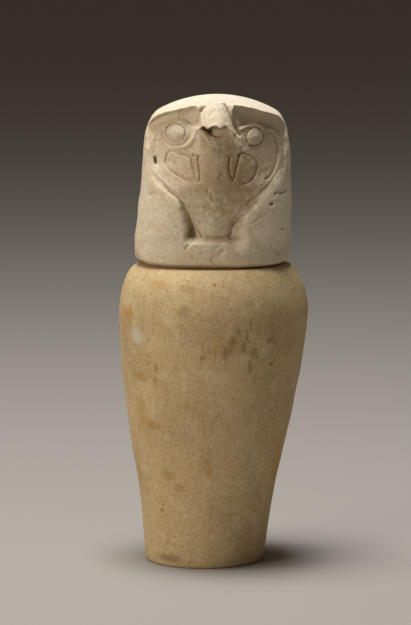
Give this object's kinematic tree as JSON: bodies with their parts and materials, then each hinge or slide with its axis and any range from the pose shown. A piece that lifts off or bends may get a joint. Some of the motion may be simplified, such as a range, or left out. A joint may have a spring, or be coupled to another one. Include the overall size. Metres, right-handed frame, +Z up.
{
  "type": "canopic jar",
  "caption": "Carved limestone canopic jar: a hollow, tapering jar with a high rounded shoulder, closed by a lift-off lid carved as a falcon's head with beak, eyes and wig.",
  "frame": {"origin": "on the ground, under the middle of the jar's widest part", "axes": "+Z up along the jar, -Y the way the falcon's face looks, +X to the right of a viewer who looks at the face"},
  "size_m": [0.1216, 0.1216, 0.2997],
  "materials": {
    "jar_limestone": "matt, rubbed smooth, warm yellow tan with pits and brown stains",
    "lid_limestone": "matt, chalky pale cream with soft wear"
  },
  "bodies": {
    "root": {"jar": "jar_limestone", "falcon_head_lid": "lid_limestone"}
  },
  "joints": []
}
